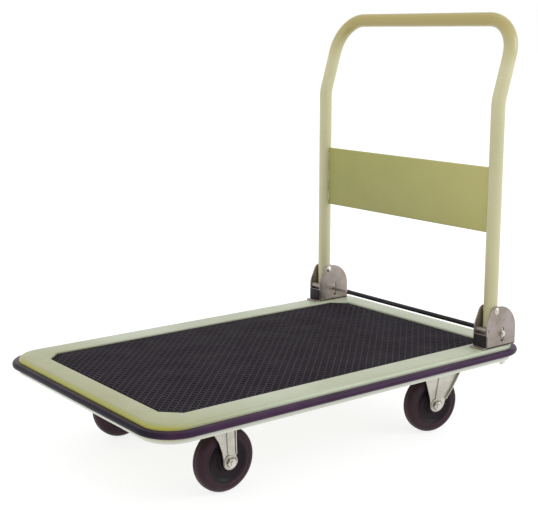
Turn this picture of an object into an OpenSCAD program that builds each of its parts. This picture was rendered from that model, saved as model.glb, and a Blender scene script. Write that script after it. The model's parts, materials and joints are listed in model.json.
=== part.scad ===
// Folding platform cart: pressed steel deck on four casters, with a push handle that
// folds forward over the deck and a spring-returned release bar behind the handle posts.
// Millimetres. Origin on the floor under the middle of the platform, +X towards the
// handle, +Z up. The nose of the cart is at -X.

/* [Platform] */
// Length of the pressed deck, without its bumper
deck_l = 898; // [760:1:1200]
// Width of the pressed deck, without its bumper
deck_w = 578; // [480:1:800]
// Radius of the deck's corners, seen from above
deck_corner_r = 58; // [40:1:90]
// Thickness of the pressed sheet
sheet_t = 1.6; // [1.2:0.1:2.4]
// Height of the deck's skirt, from the border face to the lower lip
skirt_h = 32.5; // [28:0.5:44]
// Radius rolled between the border face and the skirt
skirt_roll_r = 9; // [5:0.5:9]
// Width of the skirt's inward lip
skirt_lip_w = 10; // [6:0.5:16]
// Width of the raised border beside and behind the mat
border_w = 54; // [50:0.5:80]
// Width of the raised border at the nose
nose_border_w = 49.5; // [40:0.5:80]
// Height of the border face above the mat
border_rise = 2.5; // [1:0.5:6]
// Thickness of the deck mat
mat_t = 4.4; // [2:0.2:8]
// Length of the mat's corner chamfers, along each side
mat_chamfer = 31; // [15:1:60]

/* [Bumper] */
// How far the bumper stands out from the skirt
bumper_out = 13.5; // [8:0.5:20]
// Height of the bumper strip
bumper_h = 12.5; // [8:0.5:18]
// Depth of the bumper's upper edge below the border face
bumper_drop = 9; // [6:0.5:14]
// Edge radius of the bumper strip
bumper_edge_r = 5; // [2:0.5:6]

/* [Handle] */
// Height of the whole cart, floor to the top of the handle
overall_h = 870; // [780:1:1000]
// Outer diameter of the handle tube
tube_d = 28.6; // [22:0.1:34]
// Wall of the handle tube
tube_wall = 1.4; // [1:0.1:3]
// Distance between the axes of the two handle posts
post_span = 533; // [400:1:700]
// Distance from the rear face of the deck to the post axis
post_inset = 78.5; // [72:0.5:110]
// Height of the bend vertex below the top of the handle
lean_drop = 178; // [150:1:230]
// Angle by which the top of the handle leans back
lean_angle = 16.9; // [0:0.1:25]
// Centre line radius of the bend in each post
bend_r = 80; // [60:1:150]
// Centre line radius of the top corners
top_corner_r = 75; // [50:1:110]
// Height of the handle panel
panel_h = 135; // [60:1:180]
// Height of the panel's lower edge above the mat
panel_above_mat = 239; // [180:1:280]
// Sheet thickness of the handle panel
panel_t = 1.6; // [1:0.1:4]
// Diameter of the rolled bead on the panel's upper and lower edges
panel_bead_d = 6; // [4:0.5:12]

/* [Hinge brackets] */
// Thickness of the bracket plates
plate_t = 3; // [2:0.5:5]
// Side clearance between a handle post and each bracket plate
post_side_gap = 1; // [0.6:0.1:3]
// Height of the bracket above the border face
bracket_h = 85.5; // [80:0.5:110]
// Length of the bracket plates along the deck
bracket_l = 88; // [84:1:110]
// Distance from the bracket's front edge to the post axis
bracket_front = 29; // [27:0.5:34]
// Height of the plates' vertical front edge above the border face
front_edge_h = 47.5; // [40:0.5:56]
// Radius of the plates' rounded upper rear corner
bracket_round_r = 51; // [35:1:60]
// Length of the foot in front of the plates
foot_l = 12; // [6:0.5:30]
// Height of the pivot pin above the border face
pivot_h = 76.5; // [70:0.5:90]
// Diameter of the pivot pins
pivot_pin_d = 8; // [6:0.5:10]
// Outer diameter of the pivot bushes
pivot_bush_d = 12; // [10:0.5:14]
// Distance the spacers of the rear bracket bolts stand out below the skirt
spacer_proud = 4; // [0:0.5:8]
// Height of the front web between the plates
web_h = 29; // [10:0.5:30]
// Diameter of the stop spacer in front of each post
stop_d = 12; // [8:0.5:14]
// Height of the stop spacer above the border face
stop_h = 36.5; // [34:0.5:40]

/* [Release bar] */
// Diameter of the release bar
bar_d = 8; // [6:0.5:10]
// Outer diameter of the vinyl sleeve
sleeve_d = 10; // [8.4:0.2:16]
// Bare length of bar between the far bracket and the sleeve
sleeve_far_gap = 52; // [2:1:120]
// Gap between the near bracket and the sleeve
sleeve_near_gap = 4; // [1:1:120]
// Height of the bar above the border face, eased off its lock
bar_h = 26.6; // [25:0.1:28]
// Upward travel of the bar into the lock
bar_lock_travel = 10; // [6:0.5:12]
// Downward travel of the bar under a foot
bar_press_travel = 12.5; // [8:0.5:13]
// Wire diameter of the return springs
spring_wire_d = 1.2; // [0.8:0.1:1.4]
// Number of turns in each return spring
spring_turns = 4; // [3:1:4]

/* [Casters] */
// Diameter of the wheels
wheel_d = 125; // [100:1:140]
// Width of the wheels
wheel_w = 31; // [26:1:44]
// Radius of the rounded edges of the tyres
tyre_edge_r = 12.5; // [6:0.5:13]
// Height from the floor to the caster mounting face
caster_h = 164; // [158:1:190]
// Diameter of the wheel cores under the tyres
core_d = 84; // [60:1:96]
// Diameter of the axle bolts
axle_d = 10; // [8:0.5:12]
// Outer diameter of the axle sleeves
axle_sleeve_d = 15; // [13:0.5:18]
// Outer diameter of the wheel bushes
bush_d = 21; // [19:0.5:26]
// Distance between the near and far front casters' centre planes
front_track = 372; // [300:1:400]
// Distance between the near and far swivel axes
rear_track = 386; // [300:1:400]
// Distance from the nose face of the deck to the front axle
front_axle_inset = 196.5; // [120:0.5:260]
// Distance from the rear face of the deck to the swivel axis
swivel_inset = 130; // [115:0.5:180]
// Distance from the swivel axis to the rear axle
swivel_trail = 38; // [28:0.5:45]
// Angle at which the rear casters stand, seen from above
swivel_yaw = -9; // [-30:1:30]
// Thickness of the fork sheet
fork_t = 3; // [2:0.5:4]
// Side gap between a wheel and the fork legs
wheel_side_gap = 5.5; // [2:0.5:8]
// Radius of the rounded leg ends
leg_end_r = 15; // [13:0.5:20]
// Thickness of the caster mounting plates
mount_plate_t = 4; // [3:0.5:6]
// Length of the caster mounting plates
mount_plate_l = 112; // [100:1:140]
// Width of the caster mounting plates
mount_plate_w = 88; // [80:1:110]
// Height between the mounting plate and the swivel fork's crown
race_h = 7; // [5:0.5:9]
// Diameter of the kingpins
kingpin_d = 12; // [10:0.5:16]

/* [Hidden] */
$fn = 64;

near = -1;
far = 1;

// Fits
run_gap = 0.05;
seat_gap = 0.1;
part_gap = 0.3;
cut = 1;

// Heights
hat_h = 16;
pan_under_z = caster_h + hat_h;
pan_z = pan_under_z + sheet_t;
mat_z = pan_z + mat_t;
border_z = mat_z + border_rise;
skirt_z = border_z - skirt_h;
axle_z = wheel_d / 2;

// Mat recess
recess_l = deck_l - border_w - nose_border_w;
recess_w = deck_w - 2 * border_w;
recess_x = (nose_border_w - border_w) / 2;
mat_gap = 0.4;

// Handle
tube_r = tube_d / 2;
post_x = deck_l / 2 - post_inset;
post_y = post_span / 2;
bar_axis_z = overall_h - tube_r;
bend_z = overall_h - lean_drop;
lean_len = (bar_axis_z - bend_z) / cos(lean_angle);
bend_tangent = bend_r * tan(lean_angle / 2);
top_x = post_x + lean_len * sin(lean_angle);
panel_z = mat_z + panel_above_mat;

// Brackets
plate_gap = tube_d + 2 * post_side_gap;
bracket_x = post_x - bracket_front;
bracket_out = plate_gap / 2 + plate_t;
pivot_z = border_z + pivot_h;
pivot_r = pivot_pin_d / 2;
stop_r = stop_d / 2;
stop_x = post_x - tube_r - stop_r - 0.2;
stop_z = border_z + stop_h;
slant_dx = 17;
foot_x = bracket_x - foot_l;
foot_bolt_x = [bracket_x + 12, bracket_x + bracket_l - 17.5];
base_z = border_z + plate_t;

// Release bar
bar_r = bar_d / 2;
latch_play = 0.6;
bar_x = post_x + tube_r + bar_r + latch_play;
bar_z = border_z + bar_h;
slot_side_gap = 0.4;
slot_end_gap = 0.3;
bar_reach = norm([bar_x - post_x, pivot_z - bar_z]);
sweep_gap = 1;
post_end_z = pivot_z - sqrt(pow(bar_reach - bar_r - sweep_gap, 2) - tube_r * tube_r);
washer_t = 1.5;
washer_r = bar_r + 2.5;
clip_t = 1;
clip_r = bar_r + 1.4;
bar_half_l = post_y + bracket_out + washer_t + clip_t + 2.2;

// Casters
front_axle_x = front_axle_inset - deck_l / 2;
rigid_plate_dx = -6;
front_plate_x = front_axle_x + rigid_plate_dx;
swivel_x = deck_l / 2 - swivel_inset;
front_y = front_track / 2;
rear_y = rear_track / 2;
function caster_y(x) = x < 0 ? front_y : rear_y;
leg_in = wheel_w / 2 + wheel_side_gap;
leg_out = leg_in + fork_t;
mount_z = caster_h - mount_plate_t;
crown_z = mount_z - race_h;
crown_r = 41;
bolt_r = 4;
mount_bolt_x = 43;
mount_bolt_y = 32;
hex_af = 13;
hex_h = 5.3;
axle_hex_af = 17;
axle_hex_h = 6.4;
axle_nut_h = 8;
ball_d = race_h - 0.3;
ball_ring_r = 27;
ball_count = 16;
king_flange_z = crown_z - fork_t - 5;
lower_ball_d = 4.7;
lower_ring_r = 11;
lower_ball_count = 10;

// ---- Shared shapes ----

// Rectangle with rounded corners, centred.
module rounded(l, w, r) {
    square([l - 2 * r, w], center = true);
    square([l, w - 2 * r], center = true);
    for (x = [-1, 1], y = [-1, 1])
        translate([x * (l / 2 - r), y * (w / 2 - r)]) circle(r);
}

// Rectangle with chamfered corners, centred.
module chamfered(l, w, c) {
    a = l / 2;
    b = w / 2;
    polygon([[a, b - c], [a - c, b], [c - a, b], [-a, b - c],
             [-a, c - b], [c - a, -b], [a - c, -b], [a, c - b]]);
}

// Sweeps a profile round a rounded rectangle. The profile's x runs outwards from the
// rectangle's edge and its y runs up.
module swept(l, w, r) {
    for (i = [0, 1]) rotate(180 * i) {
        translate([l / 2, 0, 0]) rotate([90, 0, 0])
            linear_extrude(w - 2 * r, center = true) children();
        translate([0, w / 2, 0]) rotate([90, 0, 90])
            linear_extrude(l - 2 * r, center = true) children();
        translate([l / 2 - r, w / 2 - r, 0])
            rotate_extrude(angle = 90) translate([r, 0]) children();
        translate([l / 2 - r, r - w / 2, 0]) rotate(-90)
            rotate_extrude(angle = 90) translate([r, 0]) children();
    }
}

// Hexagonal prism standing on z = 0.
module hex(af, h) {
    cylinder(d = af / cos(30), h = h, $fn = 6);
}

// Hexagon with a turned top chamfer.
module hex_head(af, h) {
    intersection() {
        hex(af, h);
        union() {
            cylinder(d = af * 1.2, h = h * 0.75);
            translate([0, 0, h * 0.75])
                cylinder(d1 = af * 1.2, d2 = af * 0.92, h = h * 0.25);
        }
    }
}

// Rod along Y from y0 to y1.
module rod_y(r, y0, y1) {
    translate([0, y0, 0]) rotate([-90, 0, 0]) cylinder(r = r, h = y1 - y0);
}

// Ring along Y.
module ring_y(r, bore_r, y0, y1) {
    difference() {
        rod_y(r, y0, y1);
        rod_y(bore_r, y0 - cut, y1 + cut);
    }
}

// ---- Platform ----

// Rolled edge, skirt and inward lip.
module skirt_profile() {
    t = sheet_t;
    r = skirt_roll_r;
    intersection() {
        translate([-r, -r]) difference() {
            circle(r);
            circle(r - t);
        }
        translate([-r, -r]) square(r + cut);
    }
    translate([-t, -skirt_h]) square([t, skirt_h - r]);
    translate([-skirt_lip_w, -skirt_h]) square([skirt_lip_w - t, t]);
}

module platform_deck() color([0.80, 0.82, 0.70]) difference() {
    union() {
        translate([0, 0, border_z])
            swept(deck_l, deck_w, deck_corner_r) skirt_profile();
        translate([0, 0, border_z - sheet_t]) linear_extrude(sheet_t)
            rounded(deck_l - 2 * skirt_roll_r, deck_w - 2 * skirt_roll_r,
                    deck_corner_r - skirt_roll_r);
        translate([recess_x, 0, pan_under_z]) linear_extrude(border_z - pan_under_z)
            chamfered(recess_l + 2 * sheet_t, recess_w + 2 * sheet_t,
                      mat_chamfer + 0.6 * sheet_t);
    }
    translate([recess_x, 0, pan_z]) linear_extrude(border_z)
        chamfered(recess_l, recess_w, mat_chamfer);
    for (side = [near, far], x = foot_bolt_x)
        translate([x, side * post_y, border_z - 2 * sheet_t])
            cylinder(r = bolt_r + part_gap, h = 4 * sheet_t);
}

// Hat-shaped section, crown down, flanges up against the pan.
module hat_profile(crown_w) {
    f = 14;
    t = sheet_t;
    square([crown_w, t]);
    for (m = [0, 1]) translate([m * crown_w, 0]) mirror([m, 0]) {
        square([t, hat_h]);
        translate([-f, hat_h - t]) square([f + t, t]);
    }
}

module caster_holes(x, centre_r) {
    for (side = [near, far]) translate([x, side * caster_y(x), caster_h - cut]) {
        for (a = [-1, 1], b = [-1, 1])
            translate([a * mount_bolt_x, b * mount_bolt_y, 0])
                cylinder(r = bolt_r + part_gap, h = sheet_t + 2 * cut);
        cylinder(r = centre_r, h = sheet_t + 2 * cut);
    }
}

module deck_stiffeners() color([0.72, 0.74, 0.64]) {
    crown_w = mount_plate_l + 8;
    hat_l = recess_w - 6;
    flange = 14;
    for (x = [front_plate_x, swivel_x]) difference() {
        translate([x - crown_w / 2, hat_l / 2, caster_h]) rotate([90, 0, 0])
            linear_extrude(hat_l) hat_profile(crown_w);
        caster_holes(x, 14);
    }
    // Middle rib along the deck, between the two cross members
    rib_w = 90;
    x0 = front_plate_x + crown_w / 2 + flange + part_gap;
    x1 = swivel_x - crown_w / 2 - flange - part_gap;
    translate([x0, -rib_w / 2, caster_h]) rotate([90, 0, 90])
        linear_extrude(x1 - x0) hat_profile(rib_w);
}

module platform_mat() color([0.16, 0.15, 0.17])
    translate([recess_x, 0, pan_z]) linear_extrude(mat_t)
        chamfered(recess_l - 2 * mat_gap, recess_w - 2 * mat_gap, mat_chamfer);

module bumper_strip() color([0.20, 0.15, 0.33])
    translate([0, 0, border_z - bumper_drop - bumper_h])
        swept(deck_l, deck_w, deck_corner_r) {
            square([bumper_out - bumper_edge_r, bumper_h]);
            translate([0, bumper_edge_r])
                square([bumper_out, bumper_h - 2 * bumper_edge_r]);
            for (y = [bumper_edge_r, bumper_h - bumper_edge_r])
                translate([bumper_out - bumper_edge_r, y]) circle(bumper_edge_r);
        }

// ---- Hinge brackets ----

module bracket_plate_outline() {
    r = bracket_round_r;
    intersection() {
        union() {
            polygon([[0, 0], [0, front_edge_h], [slant_dx, bracket_h],
                     [bracket_l - r, bracket_h], [bracket_l - r, bracket_h - r],
                     [bracket_l, bracket_h - r], [bracket_l, 0]]);
            translate([bracket_l - r, bracket_h - r]) circle(r, $fn = 96);
        }
        polygon([[0, 0], [0, front_edge_h], [slant_dx, bracket_h], [bracket_l, bracket_h],
                 [bracket_l, 0]]);
    }
}

module bar_slot() {
    r = bar_r + slot_side_gap;
    z0 = bar_z - bar_press_travel + slot_side_gap - slot_end_gap;
    z1 = bar_z + bar_lock_travel - slot_side_gap + slot_end_gap;
    for (z = [z0, z1]) translate([bar_x, 0, z]) rod_y(r, -bracket_out - cut, bracket_out + cut);
    translate([bar_x - r, -bracket_out - cut, z0])
        cube([2 * r, 2 * (bracket_out + cut), z1 - z0]);
}

module hinge_bracket(side) color([0.62, 0.58, 0.56]) translate([0, side * post_y, 0])
    difference() {
        union() {
            for (m = [0, 1]) mirror([0, m, 0])
                translate([bracket_x, plate_gap / 2 + plate_t, border_z]) rotate([90, 0, 0])
                    linear_extrude(plate_t) bracket_plate_outline();
            translate([foot_x, -bracket_out, border_z])
                cube([bracket_l + foot_l, 2 * bracket_out, plate_t]);
            translate([bracket_x, -bracket_out, border_z])
                cube([plate_t, 2 * bracket_out, web_h]);
        }
        translate([post_x, 0, pivot_z])
            rod_y(pivot_r + run_gap, -bracket_out - cut, bracket_out + cut);
        translate([stop_x, 0, stop_z])
            rod_y(3 + run_gap, -bracket_out - cut, bracket_out + cut);
        bar_slot();
        for (x = foot_bolt_x) translate([x, 0, border_z - cut])
            cylinder(r = bolt_r + part_gap, h = plate_t + 2 * cut);
    }

// Stop spacer in front of each post, riveted through both plates.
module handle_stops() color([0.80, 0.79, 0.76])
    for (side = [near, far]) translate([stop_x, side * post_y, stop_z]) {
        rod_y(stop_r, -plate_gap / 2, plate_gap / 2);
        rod_y(3, -bracket_out - 1.2, bracket_out + 1.2);
    }

module pivot_pins() color([0.80, 0.78, 0.76])
    for (side = [near, far]) translate([post_x, side * post_y, pivot_z]) {
        rod_y(pivot_r, -bracket_out, bracket_out);
        for (m = [0, 1]) mirror([0, m, 0]) translate([0, bracket_out, 0])
            rotate([-90, 0, 0]) intersection() {
                cylinder(r = pivot_r + 3, h = 3);
                translate([0, 0, -7.5]) sphere(10.5);
            }
    }

module bracket_bolts() color([0.70, 0.69, 0.66])
    for (side = [near, far], i = [0, 1])
        translate([foot_bolt_x[i], side * post_y, base_z]) {
            hex_head(hex_af, hex_h);
            translate([0, 0, -bolt_l(i)]) cylinder(r = bolt_r, h = bolt_l(i) + 0.5);
        }

// Length of a bracket bolt below its head: the rear one reaches past the skirt.
function bolt_l(i) = i == 0 ? 16 : base_z - skirt_z + spacer_proud + 11;

module bracket_spacers() color([0.66, 0.65, 0.62])
    for (side = [near, far]) translate([foot_bolt_x[1], side * post_y, 0])
        translate([0, 0, nut_seat_z(1)]) difference() {
            cylinder(r = 6.4, h = border_z - sheet_t - nut_seat_z(1));
            translate([0, 0, -cut])
                cylinder(r = bolt_r + part_gap, h = skirt_h + spacer_proud + cut);
        }

module bracket_nuts() color([0.74, 0.73, 0.66])
    for (side = [near, far], i = [0, 1])
        translate([foot_bolt_x[i], side * post_y, nut_seat_z(i)]) rotate([180, 0, 0])
            difference() {
                union() {
                    cylinder(r = 8.5, h = 1.6);
                    translate([0, 0, 1.6]) hex_head(hex_af, 6.5);
                }
                translate([0, 0, -cut]) cylinder(r = bolt_r + run_gap, h = 12);
            }

// Face that each bracket nut bears on.
function nut_seat_z(i) = i == 0 ? border_z - sheet_t : skirt_z - spacer_proud;

// ---- Handle ----

module tube_ring() difference() {
    circle(tube_r);
    circle(tube_r - tube_wall);
}

// One post of the handle up to the middle of the top bar, at its own axis. The top bar
// runs towards +Y.
module handle_half() {
    straight_end = bend_z - bend_tangent;
    translate([0, 0, post_end_z]) linear_extrude(straight_end - post_end_z) tube_ring();
    translate([bend_r, 0, straight_end]) rotate([90, 0, 180])
        rotate_extrude(angle = lean_angle, $fn = 128) translate([bend_r, 0]) tube_ring();
    translate([0, 0, bend_z]) rotate([0, lean_angle, 0]) {
        translate([0, 0, bend_tangent])
            linear_extrude(lean_len - top_corner_r - bend_tangent) tube_ring();
        translate([0, top_corner_r, lean_len - top_corner_r])
            rotate([0, -90, 0]) rotate([0, 0, -90])
                rotate_extrude(angle = 90, $fn = 128)
                    translate([top_corner_r, 0]) tube_ring();
        translate([0, top_corner_r, lean_len]) rotate([-90, 0, 0]) rotate(-90)
            linear_extrude(post_y - top_corner_r) tube_ring();
    }
}

module handle_tube() color([0.80, 0.78, 0.60]) difference() {
    for (m = [0, 1]) mirror([0, m, 0]) translate([post_x, -post_y, 0]) handle_half();
    translate([post_x, 0, pivot_z])
        rod_y(pivot_bush_d / 2, -post_y - tube_d, post_y + tube_d);
}

module handle_panel() color([0.66, 0.66, 0.42]) difference() {
    union() {
        translate([post_x - panel_t / 2, -post_y, panel_z + panel_bead_d / 2])
            cube([panel_t, post_span, panel_h - panel_bead_d]);
        for (z = [panel_z + panel_bead_d / 2, panel_z + panel_h - panel_bead_d / 2])
            translate([post_x, 0, z]) rod_y(panel_bead_d / 2, -post_y, post_y);
    }
    for (side = [near, far]) translate([post_x, side * post_y, panel_z - cut])
        cylinder(r = tube_r, h = panel_h + 2 * cut);
}

module pivot_bushes() color([0.85, 0.85, 0.82])
    for (side = [near, far]) translate([post_x, side * post_y, pivot_z])
        ring_y(pivot_bush_d / 2, pivot_r + run_gap,
               seat_gap - plate_gap / 2, plate_gap / 2 - seat_gap);

module tube_end_plugs() color([0.10, 0.10, 0.11])
    for (side = [near, far]) translate([post_x, side * post_y, post_end_z])
        difference() {
            cylinder(r = tube_r - tube_wall, h = 20);
            translate([0, 0, 3]) cylinder(r = tube_r - tube_wall - 2, h = 20);
        }

// ---- Release bar ----

module release_bar() color([0.78, 0.77, 0.75]) translate([bar_x, 0, bar_z]) {
    rod_y(bar_r, -bar_half_l, bar_half_l);
}

module release_bar_sleeve() color([0.07, 0.07, 0.08]) translate([bar_x, 0, bar_z])
    ring_y(sleeve_d / 2, bar_r,
           bracket_out + sleeve_near_gap - post_y, post_y - bracket_out - sleeve_far_gap);

module release_bar_washers() color([0.80, 0.79, 0.77])
    for (side = [near, far]) translate([bar_x, side * (post_y + bracket_out), bar_z])
        rotate([0, 0, side < 0 ? 180 : 0]) ring_y(washer_r, bar_r, part_gap, washer_t);

module release_bar_clips() color([0.60, 0.60, 0.60]) {
    for (side = [near, far])
        translate([bar_x, side * (post_y + bracket_out + washer_t), bar_z])
            rotate([0, 0, side < 0 ? 180 : 0]) ring_y(clip_r, bar_r, 0, clip_t);
    translate([bar_x, post_y - bracket_out - sleeve_far_gap, bar_z])
        ring_y(sleeve_d / 2 + 1, bar_r, 0, 4);
}

// Conical wire spring: ring of points round the wire at angle a along the coil.
function spring_point(a, b, h, r0, r1) =
    let (s = a / (360 * spring_turns), r = r0 + (r1 - r0) * s)
    [(r + spring_wire_d / 2 * cos(b)) * cos(a),
     (r + spring_wire_d / 2 * cos(b)) * sin(a),
     spring_wire_d / 2 + (h - spring_wire_d) * s + spring_wire_d / 2 * sin(b)];

module conical_spring(h, r0, r1) {
    sides = 6;
    steps = 12 * spring_turns;
    points = [for (i = [0 : steps], j = [0 : sides - 1])
        spring_point(360 * spring_turns * i / steps, 360 * j / sides, h, r0, r1)];
    walls = [for (i = [0 : steps - 1], j = [0 : sides - 1]) let (k = (j + 1) % sides)
        [i * sides + j, (i + 1) * sides + j, (i + 1) * sides + k, i * sides + k]];
    ends = [[for (j = [0 : sides - 1]) j],
            [for (j = [sides - 1 : -1 : 0]) steps * sides + j]];
    polyhedron(points, concat(walls, ends), convexity = 6);
}

module return_springs() color([0.70, 0.70, 0.70])
    for (side = [near, far]) translate([bar_x, side * post_y, base_z])
        conical_spring(bar_z - bar_r - base_z - seat_gap, 6.6, 3.4);

// ---- Casters ----

// Outline of a fork leg, seen from the side, with the axle at the origin. dx0, dx1 and
// dz list the edge in front of and behind the axle, from the axle up to the crown.
module leg_outline(front, back) {
    circle(leg_end_r);
    polygon(concat(front, [for (i = [len(back) - 1 : -1 : 0]) back[i]]));
}

// One leg sheet with its raised rib and rimmed end, standing at y = leg_out.
module fork_leg(front, back, rib_x, rib_tilt, rib_top) {
    rib_foot = leg_end_r - 3;
    translate([0, leg_out, 0]) rotate([90, 0, 0]) linear_extrude(fork_t) difference() {
        leg_outline(front, back);
        circle(axle_d / 2 + run_gap);
    }
    // Raised rib down the middle of the leg
    translate([0, leg_out, rib_foot]) multmatrix([[1, 0, rib_tilt, rib_x], [0, 1, 0, 0],
                                                  [0, 0, 1, 0]])
        linear_extrude(rib_top - rib_foot)
            polygon([[-8.5, -0.5], [-8.5, 0], [-5.5, 3], [5.5, 3], [8.5, 0], [8.5, -0.5]]);
    // Rim round the leg end
    translate([0, leg_out + 2, 0]) rotate([90, 0, 0]) linear_extrude(2.5)
        difference() {
            circle(leg_end_r);
            circle(leg_end_r - 3);
            translate([-20, 5]) square([40, 20]);
        }
}

module axle_parts_bolt() {
    translate([0, leg_out, 0]) rotate([-90, 0, 0]) hex_head(axle_hex_af, axle_hex_h);
    rod_y(axle_d / 2, -leg_out - axle_nut_h - 2.5, leg_out);
}

module axle_parts_nut() {
    difference() {
        translate([0, -leg_out, 0]) rotate([90, 0, 0]) hex_head(axle_hex_af, axle_nut_h);
        rod_y(axle_d / 2 + run_gap, -leg_out - 20, 0);
    }
}

module axle_parts_sleeve() {
    ring_y(axle_sleeve_d / 2, axle_d / 2 + seat_gap, seat_gap - leg_in, leg_in - seat_gap);
}

module mount_plate(centre_r) {
    difference() {
        translate([0, 0, mount_z]) linear_extrude(mount_plate_t)
            rounded(mount_plate_l, mount_plate_w, 8);
        for (a = [-1, 1], b = [-1, 1])
            translate([a * mount_bolt_x, b * mount_bolt_y, mount_z - cut])
                cylinder(r = bolt_r + part_gap, h = mount_plate_t + 2 * cut);
        if (centre_r > 0) translate([0, 0, mount_z - cut])
            cylinder(r = centre_r, h = mount_plate_t + 2 * cut);
    }
}

// Rigid fork, open towards the nose, with its mounting plate.
leg_top = mount_z - axle_z;
rigid_front = [[-leg_end_r, 0], [-leg_end_r, 6], [-18, 22], [-25, 42], [-38, 62],
               [-49, leg_top]];
rigid_back = [[leg_end_r, 0], [13, 14], [12, 40], [12, leg_top]];

module rigid_fork(side) color([0.82, 0.82, 0.80])
    translate([front_axle_x, side * front_y, 0]) {
        translate([rigid_plate_dx, 0, 0]) mount_plate(0);
        difference() {
            translate([0, 0, axle_z]) for (m = [0, 1]) mirror([0, m, 0])
                fork_leg(rigid_front, rigid_back, 2, -0.05, leg_top);
            translate([0, 0, mount_z + 50]) cube([200, 100, 100], center = true);
        }
        translate([-49, -leg_out, mount_z - fork_t]) cube([61, 2 * leg_out, fork_t]);
    }

// Swivel fork, built about its own axis with the axle behind the nose side.
module at_swivel(side) translate([swivel_x, side * rear_y, 0]) rotate(swivel_yaw)
    children();
module at_rear_axle(side) at_swivel(side) translate([-swivel_trail, 0, axle_z]) children();
module at_front_axle(side) translate([front_axle_x, side * front_y, axle_z]) children();

crown_under = crown_z - fork_t - axle_z;
swivel_front = [[-leg_end_r, 0], [-16, 12], [-22, 34], [-29, 58], [-31, crown_under + 1]];
swivel_back = [[leg_end_r, -2], [23, 10], [38, 30], [57, 62], [68, crown_under + 1]];

module swivel_fork(side) color([0.84, 0.84, 0.83]) {
    at_rear_axle(side) for (m = [0, 1]) mirror([0, m, 0])
        fork_leg(swivel_front, swivel_back, 2, 0.16, crown_under + 1);
    at_swivel(side) translate([0, 0, crown_z - fork_t]) difference() {
        union() {
            cylinder(r = crown_r, h = fork_t);
            translate([-31 - swivel_trail, -leg_out, 0])
                cube([99, 2 * leg_out, fork_t]);
            // Upturned dust lip round the upper race
            difference() {
                cylinder(r = crown_r, h = fork_t + race_h - 2);
                translate([0, 0, -cut]) cylinder(r = crown_r - 2, h = 20);
            }
        }
        translate([0, 0, -cut]) cylinder(r = kingpin_d / 2 + run_gap, h = fork_t + 2 * cut);
    }
}

module swivel_plates() color([0.82, 0.82, 0.80])
    for (side = [near, far]) translate([swivel_x, side * rear_y, 0])
        mount_plate(kingpin_d / 2 + run_gap);

module kingpins() color([0.70, 0.70, 0.68])
    for (side = [near, far]) translate([swivel_x, side * rear_y, 0]) {
        translate([0, 0, king_flange_z - 4])
            cylinder(r = kingpin_d / 2, h = caster_h - king_flange_z + 4);
        translate([0, 0, king_flange_z - 4]) cylinder(r = 15, h = 4);
        translate([0, 0, caster_h]) cylinder(r1 = 10, r2 = 7, h = 2.5);
    }

module race_balls() color([0.85, 0.85, 0.86])
    for (side = [near, far]) translate([swivel_x, side * rear_y, 0]) {
        for (i = [0 : ball_count - 1]) rotate(360 * i / ball_count)
            translate([ball_ring_r, 0, mount_z - ball_d / 2]) sphere(d = ball_d, $fn = 24);
        for (i = [0 : lower_ball_count - 1]) rotate(360 * i / lower_ball_count)
            translate([lower_ring_r, 0, king_flange_z + lower_ball_d / 2])
                sphere(d = lower_ball_d, $fn = 24);
    }

module caster_bolts() color([0.72, 0.71, 0.68])
    each_mount_bolt() {
        translate([0, 0, mount_z]) mirror([0, 0, 1]) hex_head(hex_af, hex_h);
        translate([0, 0, mount_z - 0.5]) cylinder(r = bolt_r, h = 13.5);
    }

module caster_nuts() color([0.74, 0.73, 0.66])
    each_mount_bolt() translate([0, 0, caster_h + sheet_t]) difference() {
        hex_head(hex_af, 6.5);
        translate([0, 0, -cut]) cylinder(r = bolt_r + run_gap, h = 10);
    }

module each_mount_bolt()
    for (side = [near, far], x = [front_plate_x, swivel_x],
         a = [-1, 1], b = [-1, 1])
        translate([x + a * mount_bolt_x, side * caster_y(x) + b * mount_bolt_y, 0])
            children();

// ---- Wheels ----

// Tyre: domed rubber ring. Drawn as radius against width, spun about Y.
module tyre() color([0.12, 0.11, 0.12]) rotate([-90, 0, 0]) rotate_extrude($fn = 128) {
    r0 = core_d / 2;
    r1 = wheel_d / 2;
    w = wheel_w / 2;
    edge = tyre_edge_r;
    difference() {
        union() {
            translate([r0, -w]) square([r1 - r0 - edge, 2 * w]);
            translate([r0, edge - w]) square([r1 - r0, 2 * (w - edge)]);
            for (m = [-1, 1]) translate([r1 - edge, m * (w - edge)]) circle(edge);
        }
        translate([r0 - 20, -w - cut]) square([20, 2 * w + 2 * cut]);
    }
}

module core() color([0.10, 0.10, 0.11]) rotate([-90, 0, 0]) rotate_extrude($fn = 128) {
    r0 = bush_d / 2;
    w = wheel_w / 2;
    polygon([[r0, -w], [20, -w], [24, 2 - w], [core_d / 2, -w + 1],
             [core_d / 2, w - 1], [24, w - 2], [20, w], [r0, w]]);
}

module bush() color([0.75, 0.75, 0.72])
    ring_y(bush_d / 2, axle_sleeve_d / 2 + run_gap, -wheel_w / 2, wheel_w / 2);

// ---- Nodes ----

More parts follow.
